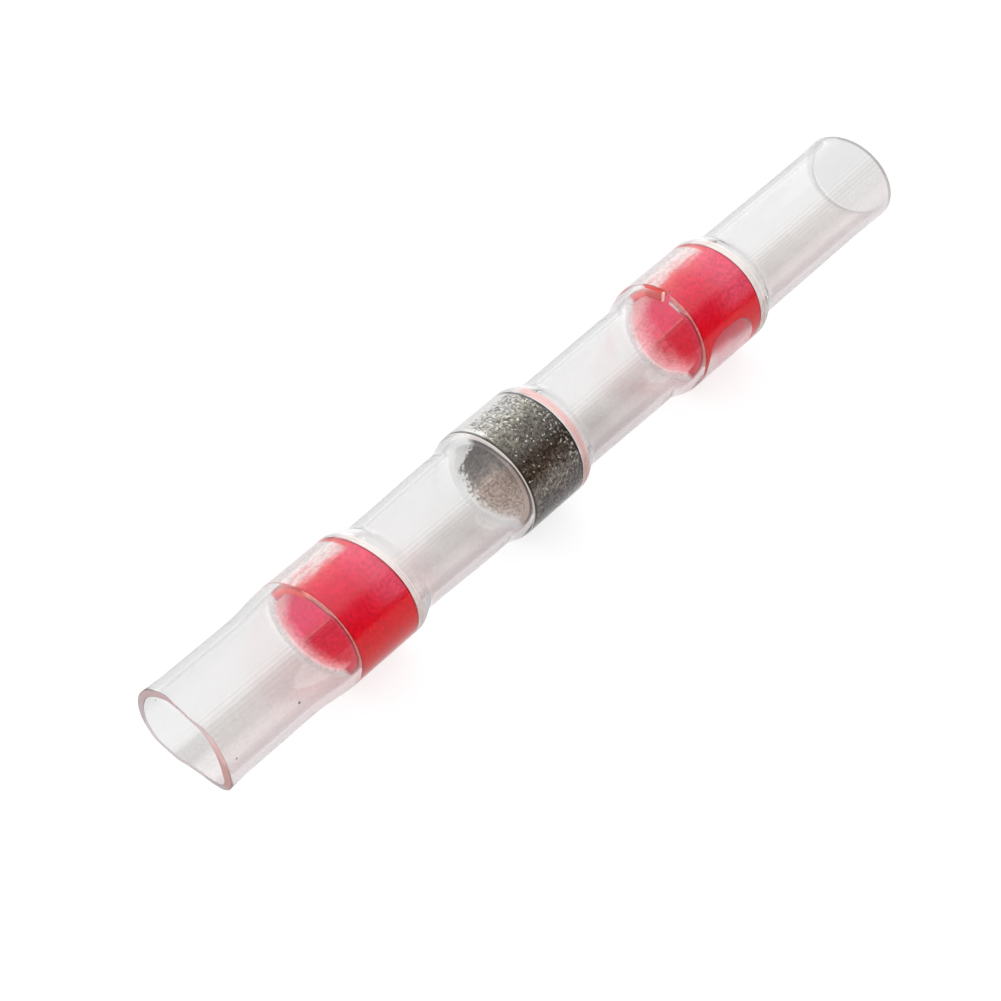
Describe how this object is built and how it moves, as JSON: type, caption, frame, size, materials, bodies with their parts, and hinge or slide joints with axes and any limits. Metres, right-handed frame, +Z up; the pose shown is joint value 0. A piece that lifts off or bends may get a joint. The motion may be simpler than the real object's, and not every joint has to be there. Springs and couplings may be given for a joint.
{
  "type": "solder sleeve connector",
  "caption": "Clear heat-shrink tube necked down round a ring of solder and red sealing rings, for joining two stripped wires.",
  "frame": {"origin": "centre of the sleeve's overall box, on the tube's axis", "axes": "+X along the tube from the wide near mouth to the far mouth, +Z up with the sleeve lying on its side"},
  "size_m": [0.0404, 0.0048, 0.0047],
  "materials": {
    "clear_tube": "clear and slightly milky",
    "red_adhesive": "translucent, satin",
    "solder": "dull and grainy"
  },
  "bodies": {
    "root": {"heat_shrink_tube": "clear_tube", "sealing_ring_near": "red_adhesive", "solder_ring": "solder", "sealing_ring_far": "red_adhesive"}
  },
  "joints": []
}
